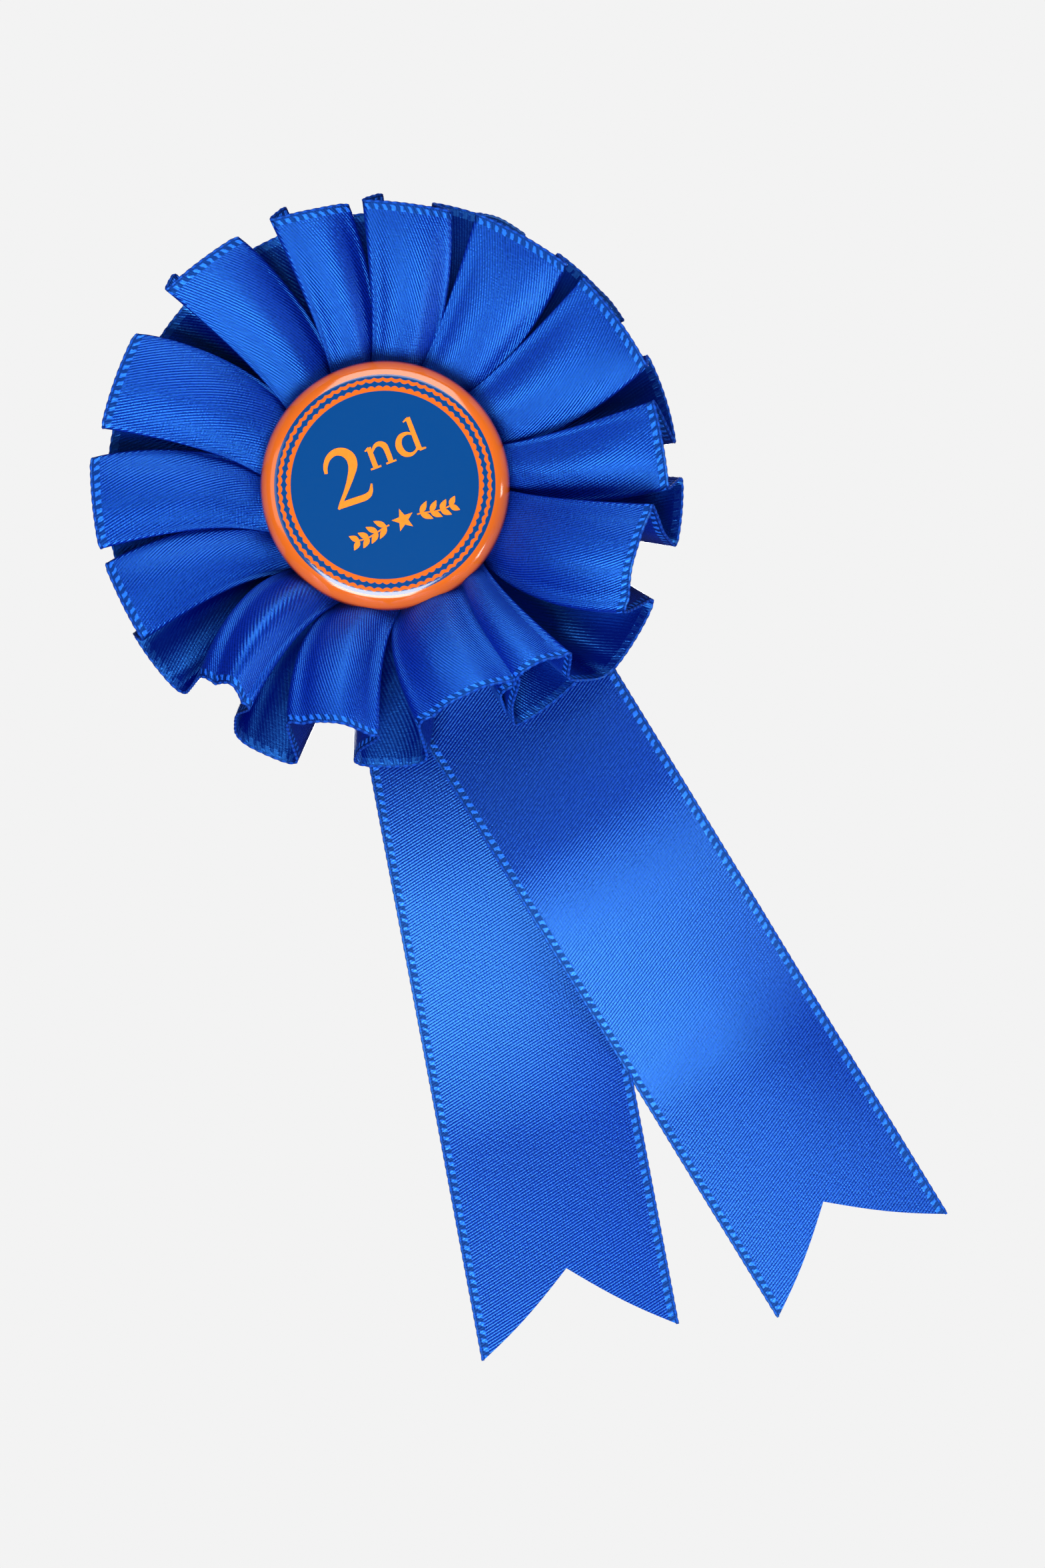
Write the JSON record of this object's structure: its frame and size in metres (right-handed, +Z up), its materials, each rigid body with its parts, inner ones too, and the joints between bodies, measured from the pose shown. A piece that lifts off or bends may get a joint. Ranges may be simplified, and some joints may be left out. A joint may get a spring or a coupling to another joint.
{
  "type": "award ribbon rosette",
  "caption": "Pinned show rosette: pleated blue satin ruffle round a domed button badge, swallow-tailed ribbon tails below, bar pin behind.",
  "frame": {"origin": "middle of the pin bar's rear face, which rests on the garment, 8 mm above the rosette's axis", "axes": "+Z up as worn, +X to the right of someone who faces the badge, +Y out of the back towards the garment"},
  "size_m": [0.074, 0.019, 0.1547],
  "materials": {
    "satin_ribbon": "blue woven satin with a broad soft sheen",
    "badge_print": "navy print with orange rings and numeral",
    "clear_film": "clear gloss film",
    "tinplate": "bright tinplate",
    "nickel": "nickel-plated steel",
    "card": "uncoated white card",
    "glue": "set hot-melt glue",
    "foam": "white adhesive foam",
    "thread": "twisted blue sewing thread"
  },
  "bodies": {
    "root": {"badge_film": "clear_film", "badge_print": "badge_print", "badge_shell": "tinplate", "badge_collet": "tinplate", "badge_glue": "glue", "ruffle_ribbon": "satin_ribbon", "gathering_thread": "thread", "foundation_card": "card", "back_card": "card", "left_tail_upper": "satin_ribbon", "right_tail_upper": "satin_ribbon", "tail_staple_left": "nickel", "tail_staple_right": "nickel", "foam_pad": "foam", "pin_plate": "nickel", "hinge_rivet": "nickel", "catch_housing": "nickel"},
    "needle": {"pin_needle": "nickel"},
    "lock": {"catch_rotor": "nickel"},
    "left_tail": {"left_tail_lower": "satin_ribbon"},
    "right_tail": {"right_tail_lower": "satin_ribbon"}
  },
  "joints": [
    {"name": "needle_hinge", "type": "hinge", "parent": "root", "child": "needle", "pos_m": [-0.0114, 0.0032, 0], "axis": [0, 0, 1], "range_deg": [0, 100]},
    {"name": "lock_turn", "type": "hinge", "parent": "root", "child": "lock", "pos_m": [0.0108, 0.0032, 0], "axis": [1, 0, 0], "range_deg": [0, 100]},
    {"name": "left_tail_swing", "type": "hinge", "parent": "root", "child": "left_tail", "pos_m": [0, -0.00355, -0.0466], "axis": [1, 0, 0], "range_deg": [0, 60]},
    {"name": "right_tail_swing", "type": "hinge", "parent": "root", "child": "right_tail", "pos_m": [0, -0.00415, -0.0466], "axis": [-1, 0, 0], "range_deg": [0, 60]}
  ]
}
